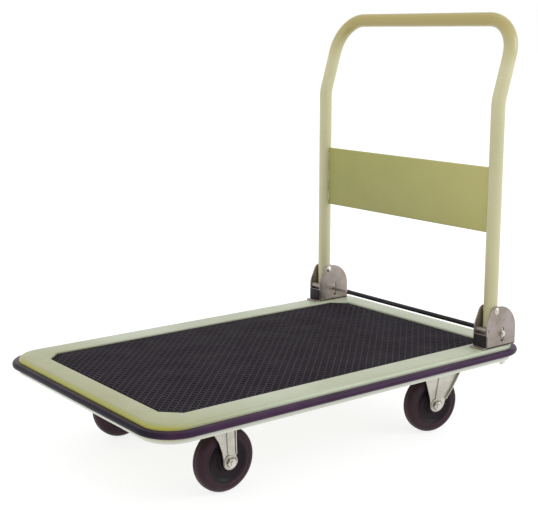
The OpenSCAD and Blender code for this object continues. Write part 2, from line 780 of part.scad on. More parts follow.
steel = [0.78, 0.78, 0.76];
platform_deck();
deck_stiffeners();
platform_mat();
bumper_strip();
hinge_bracket(near);  // hinge_bracket_near
hinge_bracket(far);  // hinge_bracket_far
bracket_bolts();
bracket_spacers();
bracket_nuts();
handle_stops();
pivot_pins();
return_springs();
handle_tube();
handle_panel();
pivot_bushes();
tube_end_plugs();
release_bar();
release_bar_sleeve();
release_bar_washers();
release_bar_clips();
rigid_fork(near);  // rigid_fork_near
rigid_fork(far);  // rigid_fork_far
color(steel) for (side = [near, far]) at_front_axle(side) axle_parts_bolt();  // front_axle_bolts
color(steel) for (side = [near, far]) at_front_axle(side) axle_parts_nut();  // front_axle_nuts
color(steel) for (side = [near, far]) at_front_axle(side) axle_parts_sleeve();  // front_axle_sleeves
caster_bolts();
caster_nuts();
swivel_plates();
kingpins();
race_balls();
for (s = [["near", near], ["far", far]]) {
    swivel_fork(s[1]);
    color(steel) at_rear_axle(s[1]) axle_parts_bolt();
    color(steel) at_rear_axle(s[1]) axle_parts_nut();
    color(steel) at_rear_axle(s[1]) axle_parts_sleeve();
    at_front_axle(s[1]) tyre();
    at_front_axle(s[1]) core();
    at_front_axle(s[1]) bush();
    at_rear_axle(s[1]) tyre();
    at_rear_axle(s[1]) core();
    at_rear_axle(s[1]) bush();
}
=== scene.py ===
import json
import math

import bmesh
import bpy
from mathutils import Matrix, Vector


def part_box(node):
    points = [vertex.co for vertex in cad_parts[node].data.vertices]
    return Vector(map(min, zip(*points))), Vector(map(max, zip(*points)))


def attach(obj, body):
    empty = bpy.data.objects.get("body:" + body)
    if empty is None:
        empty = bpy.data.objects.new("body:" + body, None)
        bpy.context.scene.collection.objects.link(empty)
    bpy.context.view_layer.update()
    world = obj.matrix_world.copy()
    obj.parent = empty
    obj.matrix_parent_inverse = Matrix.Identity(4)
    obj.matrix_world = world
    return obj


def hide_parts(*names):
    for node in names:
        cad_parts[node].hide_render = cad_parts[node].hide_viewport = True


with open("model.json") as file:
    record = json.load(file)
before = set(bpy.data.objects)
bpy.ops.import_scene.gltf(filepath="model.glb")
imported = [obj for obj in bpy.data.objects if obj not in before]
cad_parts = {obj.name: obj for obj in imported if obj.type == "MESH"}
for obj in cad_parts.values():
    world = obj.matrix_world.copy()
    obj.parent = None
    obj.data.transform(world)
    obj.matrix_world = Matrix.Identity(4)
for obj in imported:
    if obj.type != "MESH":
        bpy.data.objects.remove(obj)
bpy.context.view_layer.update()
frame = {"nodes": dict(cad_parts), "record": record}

# Everything below is drawn in millimetres and brought to metres by make_piece().
MM = 0.001

# ---------------------------------------------------------------- sizes


def span(node):
    """Lowest and highest corner of a frame node, in millimetres."""
    low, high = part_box(node)
    return Vector(low) / MM, Vector(high) / MM


# Sizes come from the nodes' boxes; the ones a box doesn't show are written out.
deck_low, deck_high = span("platform_deck")
DECK_L = deck_high.x - deck_low.x
DECK_W = deck_high.y - deck_low.y
BORDER_Z = deck_high.z
SKIRT_H = deck_high.z - deck_low.z
DECK_CORNER = 58.0
SHEET = 1.6
ROLL = 9.0
LIP = 10.0

mat_low, mat_high = span("platform_mat")
MAT_X = (mat_low.x + mat_high.x) / 2
MAT_L = mat_high.x - mat_low.x
MAT_W = mat_high.y - mat_low.y
MAT_T = mat_high.z - mat_low.z
MAT_CHAMFER = 31.0
MAT_GAP = 0.4
PAN_Z = mat_low.z

bumper_low, bumper_high = span("bumper_strip")
BUMPER_H = bumper_high.z - bumper_low.z
BUMPER_OUT = deck_low.x - bumper_low.x

tube_low, tube_high = span("handle_tube")
TUBE_R = 14.3
TUBE_WALL = 1.4
POST_X = tube_low.x + TUBE_R
POST_Y = tube_high.y - TUBE_R
POST_END_Z = tube_low.z
TOP_Z = tube_high.z - TUBE_R
LEAN_DROP = 178.0
BEND_Z = tube_high.z - LEAN_DROP
LEAN = math.radians(16.9)
BEND_R = 80.0
TOP_R = 75.0
LEAN_LEN = (TOP_Z - BEND_Z) / math.cos(LEAN)
BEND_TANGENT = BEND_R * math.tan(LEAN / 2)

panel_low, panel_high = span("handle_panel")
BEAD_R = (panel_high.x - panel_low.x) / 2
PANEL_T = 1.6

near_low, near_high = span("hinge_bracket_near")
PLATE_T = 3.0
BRACKET_H = near_high.z - near_low.z
BRACKET_L = 88.0
BRACKET_X = near_high.x - BRACKET_L
FOOT_X = near_low.x
BRACKET_OUT = (near_high.y - near_low.y) / 2
WEB_H = 29.0
bar_low, bar_high = span("release_bar")
BAR_X = (bar_low.x + bar_high.x) / 2
BAR_Z = (bar_low.z + bar_high.z) / 2
BAR_PRESS = 12.5
BAR_LOCK = 10.0

tyre_low, tyre_high = span("front_tyre_near")
WHEEL_R = (tyre_high.z - tyre_low.z) / 2
WHEEL_HALF_W = (tyre_high.y - tyre_low.y) / 2
FRONT_AXLE_X = (tyre_low.x + tyre_high.x) / 2
FRONT_Y = -(tyre_low.y + tyre_high.y) / 2
TYRE_EDGE_R = 12.5
CORE_R = 42.0
BUSH_R = 10.5
YAW = math.radians(-9.0)
TRAIL = 38.0
plates_low, plates_high = span("swivel_plates")
SWIVEL_X = (plates_low.x + plates_high.x) / 2
MOUNT_HALF_L = (plates_high.x - plates_low.x) / 2
MOUNT_HALF_W = 44.0
SWIVEL_Y = plates_high.y - MOUNT_HALF_W
MOUNT_Z = plates_low.z
PLATE_TOP_Z = plates_high.z
WHEEL_SIDE_GAP = 5.5
LEG_IN = WHEEL_HALF_W + WHEEL_SIDE_GAP
FORK_T = 3.0
LEG_OUT = LEG_IN + FORK_T
LEG_END_R = 15.0
RACE_H = 7.0
CROWN_Z = MOUNT_Z - RACE_H

# ---------------------------------------------------------------- modelling helpers


# Stands a flat outline up on its lower edge, facing -Y
ON_EDGE = Matrix.Rotation(math.pi / 2, 4, "X")
FACING_X = Matrix.Rotation(math.pi / 2, 4, "Z") @ ON_EDGE
# How far a point may lie from a level and still count as on it
LEVEL = 0.01


def verts_of(geometry):
    return [g for g in geometry if isinstance(g, bmesh.types.BMVert)]


def edges_of(geometry):
    return [g for g in geometry if isinstance(g, bmesh.types.BMEdge)]


def round_off(bm, geometry, radius, steps, affect="EDGES", clamp=False):
    bmesh.ops.bevel(bm, geom=geometry, offset=radius, offset_type="OFFSET", segments=steps,
                    profile=0.5, affect=affect, material=-1, clamp_overlap=clamp)


def soften_edges(bm, width, steps, sharper_than=50.0):
    """Rounds every edge of bm that turns by more than the given angle."""
    rim = [e for e in bm.edges
           if len(e.link_faces) == 2 and e.calc_face_angle(0.0) > math.radians(sharper_than)]
    round_off(bm, rim, width, steps, clamp=True)


def outline(corners, rounds=()):
    """A flat face from a few corners. rounds lists (corner, radius, steps)."""
    bm = bmesh.new()
    points = [bm.verts.new((x, y, 0.0)) for x, y in corners]
    bm.faces.new(points)
    for corner, radius, steps in rounds:
        round_off(bm, [points[corner]], radius, steps, affect="VERTICES")
    return bm


def thicken(bm, depth):
    """Pulls all of a flat outline up by depth, into a closed slab."""
    pulled = bmesh.ops.extrude_face_region(bm, geom=bm.faces[:])["geom"]
    bmesh.ops.translate(bm, vec=(0, 0, depth), verts=verts_of(pulled))
    bmesh.ops.recalc_face_normals(bm, faces=bm.faces)
    return bm


def slab(corners, depth, rounds=(), soft=0.0, steps=2):
    bm = thicken(outline(corners, rounds), depth)
    if soft:
        soften_edges(bm, soft, steps)
    return bm


def rectangle(x0, x1, y0, y1):
    return [(x0, y0), (x1, y0), (x1, y1), (x0, y1)]


def all_round(radius, steps):
    """The same rounding for all four corners of a rectangle."""
    return [(i, radius, steps) for i in range(4)]


def chamfered(a, b, c):
    """Corners of a rectangle of 2a by 2b that is cut off by c at each corner."""
    return [(a, b - c), (a - c, b), (c - a, b), (-a, b - c),
            (-a, c - b), (c - a, -b), (a - c, -b), (a, c - b)]


def pierced(corners, rounds, holes, depth, soft):
    """A slab with holes through it.

    holes lists (x, y, radius, drawn): drawn stretches the hole into a slot along +y.
    """
    bm = outline(corners, rounds)
    bmesh.ops.delete(bm, geom=bm.faces[:], context="FACES_ONLY")
    for x, y, radius, drawn in holes:
        ring = bmesh.ops.create_circle(bm, cap_ends=False, segments=28, radius=radius,
                                       matrix=Matrix.Translation((x, y, 0)))["verts"]
        bmesh.ops.translate(bm, vec=(0, drawn, 0), verts=[v for v in ring if v.co.y > y])
    bmesh.ops.triangle_fill(bm, use_beauty=True, use_dissolve=False, edges=bm.edges[:])
    thicken(bm, depth)
    if soft:
        soften_edges(bm, soft, 2)
    return bm


def join(bm, part, place=None):
    """Adds part to bm at a place, and frees it."""
    if place is not None:
        bmesh.ops.transform(part, matrix=place, verts=part.verts)
        if place.determinant() < 0:
            bmesh.ops.reverse_faces(part, faces=part.faces)
    loan = bpy.data.meshes.new("loan")
    part.to_mesh(loan)
    part.free()
    bm.from_mesh(loan)
    bpy.data.meshes.remove(loan)


def turned(points, segments=96):
    """Spins an open profile of (radius, height) points about Z."""
    bm = bmesh.new()
    line = [bm.verts.new((r, 0.0, h)) for r, h in points]
    edges = [bm.edges.new(pair) for pair in zip(line, line[1:])]
    bmesh.ops.spin(bm, geom=line + edges, cent=(0, 0, 0), axis=(0, 0, 1), dvec=(0, 0, 0),
                   angle=math.tau, steps=segments, use_merge=True, use_duplicate=False)
    bmesh.ops.remove_doubles(bm, verts=bm.verts, dist=0.001)
    bmesh.ops.recalc_face_normals(bm, faces=bm.faces)
    return bm


def mirrored(bm, normal_axis):
    """Adds to bm its own mirror image across the plane through zero."""
    other = bm.copy()
    flip = Matrix.Diagonal([-1 if a == normal_axis else 1 for a in "XYZ"] + [1])
    join(bm, other, flip)
    return bm


def make_piece(name, bm, finish, body, stands_for=(), sharp=38.0, turn_normals=True):
    """Turns bm, in millimetres, into a finished object that rides on a body."""
    bmesh.ops.remove_doubles(bm, verts=bm.verts, dist=0.002)
    if turn_normals:
        bmesh.ops.recalc_face_normals(bm, faces=bm.faces)
    bmesh.ops.scale(bm, vec=(MM, MM, MM), verts=bm.verts)
    for face in bm.faces:
        face.smooth = True
    for edge in bm.edges:
        edge.smooth = (len(edge.link_faces) == 2
                       and edge.calc_face_angle(0.0) < math.radians(sharp))
    mesh = bpy.data.meshes.new(name)
    bm.to_mesh(mesh)
    bm.free()
    piece = bpy.data.objects.new(name, mesh)
    bpy.context.scene.collection.objects.link(piece)
    mesh.materials.append(finish)
    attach(piece, body)
    if stands_for:
        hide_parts(*stands_for)
    return piece


# ---------------------------------------------------------------- shared surface effects


def new_effect(name, inputs, outputs):
    """An empty node group with named inputs and outputs."""
    group = bpy.data.node_groups.new(name, "ShaderNodeTree")
    for label, kind, value in inputs:
        socket = group.interface.new_socket(name=label, in_out="INPUT", socket_type=kind)
        socket.default_value = value
    for label, kind in outputs:
        group.interface.new_socket(name=label, in_out="OUTPUT", socket_type=kind)
    return group, group.nodes.new("NodeGroupInput"), group.nodes.new("NodeGroupOutput")


def add(tree, kind, **settings):
    node = tree.nodes.new(kind)
    for key, value in settings.items():
        setattr(node, key, value)
    return node


def tone_drift():
    """A colour that wanders a little between two tones, over two scales."""
    group, given, out = new_effect(
        "tone_drift",
        [("Coordinates", "NodeSocketVector", (0, 0, 0)), ("Tone", "NodeSocketColor", (1, 1, 1, 1)),
         ("Other Tone", "NodeSocketColor", (0, 0, 0, 1)), ("Scale", "NodeSocketFloat", 6.0)],
        [("Color", "NodeSocketColor"), ("Mask", "NodeSocketFloat")])
    link = group.links.new
    broad = add(group, "ShaderNodeTexNoise")
    broad.inputs["Detail"].default_value = 3.0
    fine = add(group, "ShaderNodeTexNoise")
    fine.inputs["Scale"].default_value = 210.0
    fine.inputs["Detail"].default_value = 2.0
    blend = add(group, "ShaderNodeMath", operation="MULTIPLY_ADD")
    blend.inputs[1].default_value = 0.3
    spread = add(group, "ShaderNodeMapRange")
    spread.inputs["From Min"].default_value = 0.50
    spread.inputs["From Max"].default_value = 0.82
    mix = add(group, "ShaderNodeMix", data_type="RGBA")
    link(given.outputs["Coordinates"], broad.inputs["Vector"])
    link(given.outputs["Scale"], broad.inputs["Scale"])
    link(given.outputs["Coordinates"], fine.inputs["Vector"])
    link(fine.outputs["Fac"], blend.inputs[0])
    link(broad.outputs["Fac"], blend.inputs[2])
    link(blend.outputs[0], spread.inputs["Value"])
    link(spread.outputs["Result"], mix.inputs["Factor"])
    link(given.outputs["Tone"], mix.inputs["A"])
    link(given.outputs["Other Tone"], mix.inputs["B"])
    link(mix.outputs["Result"], out.inputs["Color"])
    link(spread.outputs["Result"], out.inputs["Mask"])
    return group


def rubbed_edges():
    """A mask that is 1 on rubbed convex and concave edges."""
    group, given, out = new_effect(
        "rubbed_edges", [("Coordinates", "NodeSocketVector", (0, 0, 0)),
                         ("Reach", "NodeSocketFloat", 0.0012)],
        [("Mask", "NodeSocketFloat")])
    link = group.links.new
    rounded = add(group, "ShaderNodeBevel", samples=3)
    surface = add(group, "ShaderNodeNewGeometry")
    turn = add(group, "ShaderNodeVectorMath", operation="DOT_PRODUCT")
    bend = add(group, "ShaderNodeMapRange")
    bend.inputs["From Min"].default_value = 0.995
    bend.inputs["From Max"].default_value = 0.90
    patches = add(group, "ShaderNodeTexNoise")
    patches.inputs["Scale"].default_value = 45.0
    patches.inputs["Detail"].default_value = 4.0
    gate = add(group, "ShaderNodeMapRange")
    gate.inputs["From Min"].default_value = 0.44
    gate.inputs["From Max"].default_value = 0.62
    both = add(group, "ShaderNodeMath", operation="MULTIPLY", use_clamp=True)
    link(given.outputs["Reach"], rounded.inputs["Radius"])
    link(given.outputs["Coordinates"], patches.inputs["Vector"])
    link(rounded.outputs["Normal"], turn.inputs[0])
    link(surface.outputs["Normal"], turn.inputs[1])
    link(turn.outputs["Value"], bend.inputs["Value"])
    link(patches.outputs["Fac"], gate.inputs["Value"])
    link(bend.outputs["Result"], both.inputs[0])
    link(gate.outputs["Result"], both.inputs[1])
    link(both.outputs[0], out.inputs["Mask"])
    return group


def surface_grain():
    """Height and roughness of a fine grain, with an even pebble or an orange peel to it."""
    group, given, out = new_effect(
        "surface_grain",
        [("Coordinates", "NodeSocketVector", (0, 0, 0)), ("Scale", "NodeSocketFloat", 300.0),
         ("Pebble", "NodeSocketFloat", 0.5), ("Low Roughness", "NodeSocketFloat", 0.3),
         ("High Roughness", "NodeSocketFloat", 0.5)],
        [("Height", "NodeSocketFloat"), ("Roughness", "NodeSocketFloat")])
    link = group.links.new
    peel = add(group, "ShaderNodeTexNoise")
    peel.inputs["Detail"].default_value = 2.0
    cells = add(group, "ShaderNodeTexVoronoi", feature="SMOOTH_F1")
    cells.inputs["Smoothness"].default_value = 0.6
    height = add(group, "ShaderNodeMix", data_type="FLOAT")
    smudge = add(group, "ShaderNodeTexNoise")
    smudge.inputs["Scale"].default_value = 17.0
    smudge.inputs["Detail"].default_value = 5.0
    rough = add(group, "ShaderNodeMapRange")
    rough.inputs["From Min"].default_value = 0.3
    rough.inputs["From Max"].default_value = 0.7
    for texture in (peel, cells, smudge):
        link(given.outputs["Coordinates"], texture.inputs["Vector"])
    link(given.outputs["Scale"], peel.inputs["Scale"])
    link(given.outputs["Scale"], cells.inputs["Scale"])
    link(given.outputs["Pebble"], height.inputs["Factor"])
    link(peel.outputs["Fac"], height.inputs["A"])
    link(cells.outputs["Distance"], height.inputs["B"])
    link(smudge.outputs["Fac"], rough.inputs["Value"])
    link(given.outputs["Low Roughness"], rough.inputs["To Min"])
    link(given.outputs["High Roughness"], rough.inputs["To Max"])
    link(height.outputs["Result"], out.inputs["Height"])
    link(rough.outputs["Result"], out.inputs["Roughness"])
    return group


def floor_dust():
    """A mask of dust that thins out with height above the floor."""
    group, given, out = new_effect(
        "floor_dust",
        [("Coordinates", "NodeSocketVector", (0, 0, 0)), ("Top", "NodeSocketFloat", 0.08),
         ("Amount", "NodeSocketFloat", 0.4)],
        [("Mask", "NodeSocketFloat")])
    link = group.links.new
    split = add(group, "ShaderNodeSeparateXYZ")
    fall = add(group, "ShaderNodeMapRange")
    fall.inputs["From Min"].default_value = 0.0
    fall.inputs["To Min"].default_value = 1.0
    fall.inputs["To Max"].default_value = 0.0
    specks = add(group, "ShaderNodeTexNoise")
    specks.inputs["Scale"].default_value = 60.0
    specks.inputs["Detail"].default_value = 6.0
    both = add(group, "ShaderNodeMath", operation="MULTIPLY")
    scaled = add(group, "ShaderNodeMath", operation="MULTIPLY", use_clamp=True)
    link(given.outputs["Coordinates"], split.inputs["Vector"])
    link(given.outputs["Coordinates"], specks.inputs["Vector"])
    link(split.outputs["Z"], fall.inputs["Value"])
    link(given.outputs["Top"], fall.inputs["From Max"])
    link(fall.outputs["Result"], both.inputs[0])
    link(specks.outputs["Fac"], both.inputs[1])
    link(both.outputs[0], scaled.inputs[0])
    link(given.outputs["Amount"], scaled.inputs[1])
    link(scaled.outputs[0], out.inputs["Mask"])
    return group


EFFECTS = {make.__name__: make()
           for make in (tone_drift, rubbed_edges, surface_grain, floor_dust)}


class Finish:
    """One material while its nodes are being laid out."""

    def __init__(self, name, slot):
        self.material = bpy.data.materials.new(name)
        self.material.use_nodes = True
        self.material["slot"] = slot
        self.tree = self.material.node_tree
        self.shader = self.tree.nodes["Principled BSDF"]
        self.place = self.tree.nodes.new("ShaderNodeTexCoord").outputs["Object"]

    def node(self, kind, **settings):
        return add(self.tree, kind, **settings)

    def link(self, a, b):
        self.tree.links.new(a, b)

    def effect(self, name, **values):
        node = self.node("ShaderNodeGroup", node_tree=EFFECTS[name])
        self.link(self.place, node.inputs["Coordinates"])
        for key, value in values.items():
            socket = node.inputs[key.replace("_", " ").title()]
            socket.default_value = tuple(value) + (1.0,) if isinstance(value, tuple) else value
        return node

    def along(self, axis, start, end):
        """A mask that runs from 0 at start to 1 at end, in metres along one axis."""
        split = self.node("ShaderNodeSeparateXYZ")
        self.link(self.place, split.inputs["Vector"])
        ramp = self.node("ShaderNodeMapRange")
        ramp.inputs["From Min"].default_value = start
        ramp.inputs["From Max"].default_value = end
        self.link(split.outputs[axis], ramp.inputs["Value"])
        return ramp.outputs["Result"]

    def both(self, a, b):
        """Where two masks meet."""
        node = self.node("ShaderNodeMath", operation="MULTIPLY")
        self.link(a, node.inputs[0])
        self.link(b, node.inputs[1])
        return node.outputs[0]

    def mix(self, mask, a, colour):
        """a, turning to a plain colour where mask is 1."""
        node = self.node("ShaderNodeMix", data_type="RGBA")
        self.link(mask, node.inputs["Factor"])
        self.link(a, node.inputs["A"])
        node.inputs["B"].default_value = tuple(colour) + (1.0,)
        return node.outputs["Result"]

    def bump(self, height, strength, distance):
        node = self.node("ShaderNodeBump")
        node.inputs["Strength"].default_value = strength
        node.inputs["Distance"].default_value = distance
        self.link(height, node.inputs["Height"])
        self.link(node.outputs["Normal"], self.shader.inputs["Normal"])

    def grained(self, grains, strength, distance=0.0006):
        """Takes roughness and relief from a surface_grain effect."""
        self.link(grains.outputs["Roughness"], self.shader.inputs["Roughness"])
        self.bump(grains.outputs["Height"], strength, distance)

    def constants(self, **values):
        for key, value in values.items():
            socket = key.replace("_", " ").title().replace("Ior", "IOR")
            self.shader.inputs[socket].default_value = value


def enamel(name, slot, tone, other, worn, grain=520.0, peel=0.05, low=0.28, high=0.42,
           tints=()):
    """Baked enamel with an orange peel, drifting tone and rubbed edges.

    tints lists (axis, start, end, colour): the tone runs over to the colour along the axis.
    """
    f = Finish(name, slot)
    colour = f.effect("tone_drift", tone=tone, other_tone=other, scale=5.0).outputs["Color"]
    edge = f.effect("rubbed_edges", reach=0.0011)
    grains = f.effect("surface_grain", scale=grain, pebble=0.25, low_roughness=low,
                      high_roughness=high)
    for axis, start, end, tint in tints:
        colour = f.mix(f.along(axis, start, end), colour, tint)
    f.link(f.mix(edge.outputs["Mask"], colour, worn), f.shader.inputs["Base Color"])
    f.grained(grains, peel)
    f.constants(coat_weight=0.15, coat_roughness=0.2)
    return f


def deck_enamel():
    """Grey-green ivory enamel, with painted shade tinting the nose yellow-green, a painted
    highlight on its rolled edge and painted floor light making the lower skirt paler.
    """
    f = Finish("deck_enamel", "ivory_paint")
    drift = f.effect("tone_drift", tone=(0.39, 0.42, 0.30), other_tone=(0.35, 0.38, 0.265),
                     scale=4.0)
    edge = f.effect("rubbed_edges", reach=0.0012)
    grains = f.effect("surface_grain", scale=480.0, pebble=0.2, low_roughness=0.30,
                      high_roughness=0.45)
    # Painted shade: the nose, facing away from the key light, turns yellow-green.
    toned = f.mix(f.along("X", -0.20, -0.43), drift.outputs["Color"], (0.28, 0.285, 0.135))
    # Painted highlight: the rolled edge at the nose is tinted a stronger yellow.
    rolled = f.along("Z", BORDER_Z * MM - 0.0001, BORDER_Z * MM - 0.0050)
    toned = f.mix(f.both(rolled, f.along("X", -0.38, -0.43)), toned, (0.34, 0.33, 0.035))
    # Painted floor light: the lower skirt, lit from below, is painted paler.
    painted_floor_light_mask = f.along("Z", BORDER_Z * MM - 0.020, BORDER_Z * MM - 0.030)
    toned = f.mix(painted_floor_light_mask, toned, (0.60, 0.61, 0.53))
    f.link(f.mix(edge.outputs["Mask"], toned, (0.58, 0.60, 0.50)), f.shader.inputs["Base Color"])
    f.grained(grains, 0.05)
    f.constants(coat_weight=0.2, coat_roughness=0.18)
    return f.material


def panel_enamel():
    """Olive enamel with a fine slanting weave in it."""
    f = Finish("panel_enamel", "olive_panel")
    drift = f.effect("tone_drift", tone=(0.28, 0.275, 0.060), other_tone=(0.24, 0.24, 0.050),
                     scale=7.0)
    edge = f.effect("rubbed_edges", reach=0.0010)
    grains = f.effect("surface_grain", scale=700.0, pebble=0.6, low_roughness=0.40,
                      high_roughness=0.55)
    slant = f.node("ShaderNodeMapping")
    slant.inputs["Rotation"].default_value = (math.radians(35.0), 0, 0)
    weave = f.node("ShaderNodeTexWave", wave_type="BANDS", bands_direction="Y")
    weave.inputs["Scale"].default_value = 120.0
    weave.inputs["Distortion"].default_value = 2.5
    weave.inputs["Detail"].default_value = 1.0
    f.link(f.place, slant.inputs["Vector"])
    f.link(slant.outputs["Vector"], weave.inputs["Vector"])
    lighter = f.node("ShaderNodeMath", operation="MULTIPLY")
    lighter.inputs[1].default_value = 0.25
    f.link(weave.outputs["Fac"], lighter.inputs[0])
    # Painted light: the sheet grows lighter towards the near post, on the key light's side.
    toned = f.mix(f.along("Y", 0.25, -0.25), drift.outputs["Color"], (0.41, 0.385, 0.125))
    toned = f.mix(lighter.outputs[0], toned, (0.44, 0.43, 0.19))
    f.link(f.mix(edge.outputs["Mask"], toned, (0.48, 0.47, 0.22)), f.shader.inputs["Base Color"])
    f.link(grains.outputs["Roughness"], f.shader.inputs["Roughness"])
    height = f.node("ShaderNodeMath", operation="ADD")
    f.link(grains.outputs["Height"], height.inputs[0])
    f.link(weave.outputs["Fac"], height.inputs[1])
    f.bump(height.outputs[0], 0.10, 0.0005)
    f.constants(coat_weight=0.05, coat_roughness=0.3)
    return f.material


def zinc(name, slot, tone, other, low, high, metallic=1.0, grain=160.0):
    """Zinc plating: a cloudy bloom over metal, with rubbed bright edges."""
    f = Finish(name, slot)
    drift = f.effect("tone_drift", tone=tone, other_tone=other, scale=28.0)
    edge = f.effect("rubbed_edges", reach=0.0008)
    grains = f.effect("surface_grain", scale=grain, pebble=0.7, low_roughness=low,
                      high_roughness=high)
    bright = tuple(min(1.0, c * 1.15) for c in tone)
    plated = f.mix(edge.outputs["Mask"], drift.outputs["Color"], bright)
    f.link(plated, f.shader.inputs["Base Color"])
    f.grained(grains, 0.04, 0.0005)
    f.constants(metallic=metallic)
    return f.material


def moulding(name, slot, tone, other, low, high, dusty=0.0, grain=420.0, coat=0.0, peel=0.08,
             shine=0.2, tints=()):
    """Moulded rubber, vinyl or plastic, dusty towards the floor where asked.

    tints works as in enamel().
    """
    f = Finish(name, slot)
    drift = f.effect("tone_drift", tone=tone, other_tone=other, scale=12.0)
    grains = f.effect("surface_grain", scale=grain, pebble=0.5, low_roughness=low,
                      high_roughness=high)
    colour = drift.outputs["Color"]
    for axis, start, end, tint in tints:
        colour = f.mix(f.along(axis, start, end), colour, tint)
    if dusty:
        dust = f.effect("floor_dust", top=0.1, amount=dusty)
        colour = f.mix(dust.outputs["Mask"], colour, (0.15, 0.11, 0.10))
    f.link(colour, f.shader.inputs["Base Color"])
    f.grained(grains, peel)
    f.constants(coat_weight=coat, coat_roughness=0.15, specular_ior_level=shine)
    return f.material


def spring_wire():
    """Drawn wire with fine draw marks along its turns."""
    f = Finish("spring_wire", "spring_steel")
    drift = f.effect("tone_drift", tone=(0.50, 0.50, 0.52), other_tone=(0.36, 0.36, 0.38),
                     scale=90.0)
    grains = f.effect("surface_grain", scale=900.0, pebble=0.1, low_roughness=0.25,
                      high_roughness=0.45)
    f.link(drift.outputs["Color"], f.shader.inputs["Base Color"])
    f.grained(grains, 0.06, 0.0003)
    f.constants(metallic=1.0)
    return f.material


FINISHES = {
    "ivory_paint": deck_enamel(),
    "primer_grey": enamel("underside_enamel", "primer_grey", (0.42, 0.44, 0.31),
                          (0.35, 0.37, 0.26), (0.55, 0.56, 0.46)).material,
    "cream_paint": enamel("handle_enamel", "cream_paint", (0.50, 0.475, 0.285),
                          (0.45, 0.425, 0.24), (0.58, 0.56, 0.42),
                          # Painted shade: the top bar, from 0.76 m up, is tinted a darker
                          # brown-yellow.
                          tints=[("Z", 0.76, 0.85, (0.35, 0.29, 0.095))]).material,
    "olive_panel": panel_enamel(),
    "plated_bracket": zinc("bracket_plating", "plated_bracket", (0.35, 0.30, 0.28),
                           (0.26, 0.22, 0.185), 0.34, 0.5, 0.85),
    "caster_zinc": zinc("caster_plating", "caster_zinc", (0.55, 0.53, 0.47),
                        (0.42, 0.40, 0.35), 0.26, 0.44, 0.9),
    "fastener_zinc": zinc("fastener_plating", "fastener_zinc", (0.66, 0.63, 0.58),
                          (0.50, 0.47, 0.43), 0.22, 0.40),
    "bar_steel": zinc("bar_bright_steel", "bar_steel", (0.62, 0.60, 0.58),
                      (0.50, 0.48, 0.46), 0.18, 0.32, grain=600.0),
    "spring_steel": spring_wire(),
    "mat_black": moulding("mat_rubber", "mat_black", (0.008, 0.006, 0.009),
                          (0.012, 0.010, 0.014), 0.55, 0.75, grain=900.0, shine=0.04,
                          tints=[("Z", mat_high.z * MM - 0.0005, mat_high.z * MM - 0.0001,
                                  (0.050, 0.042, 0.051))]),
    "bumper_indigo": moulding("bumper_vinyl", "bumper_indigo", (0.030, 0.011, 0.034),
                              (0.042, 0.016, 0.046), 0.26, 0.42, grain=300.0, coat=0.03,
                              peel=0.03, shine=0.11,
                              # Painted shade: the bumper is darkened towards its nose end.
                              tints=[("X", -0.43, -0.458, (0.007, 0.003, 0.011))]),
    "tyre_black": moulding("tyre_rubber", "tyre_black", (0.024, 0.010, 0.017),
                           (0.036, 0.016, 0.021), 0.34, 0.54, dusty=0.05, peel=0.05,
                           shine=0.16),
    "core_plastic": moulding("core_moulding", "core_plastic", (0.012, 0.008, 0.011),
                             (0.019, 0.013, 0.016), 0.35, 0.5, dusty=0.04, shine=0.12),
    "bush_nylon": moulding("bush_moulding", "bush_nylon", (0.52, 0.51, 0.45),
                           (0.44, 0.43, 0.38), 0.35, 0.5, shine=0.4),
    "plug_plastic": moulding("plug_moulding", "plug_plastic", (0.016, 0.013, 0.015),
                             (0.026, 0.022, 0.024), 0.4, 0.6, shine=0.12),
    "sleeve_vinyl": moulding("sleeve_moulding", "sleeve_vinyl", (0.012, 0.010, 0.012),
                             (0.022, 0.018, 0.020), 0.24, 0.4, coat=0.05, shine=0.15),
}

# ---------------------------------------------------------------- deck, mat and bumper


def widest_face_at(bm, z):
    """The largest face that lies flat at height z."""
    level = [f for f in bm.faces if all(abs(v.co.z - z) < LEVEL for v in f.verts)]
    return max(level, key=lambda f: f.calc_area())


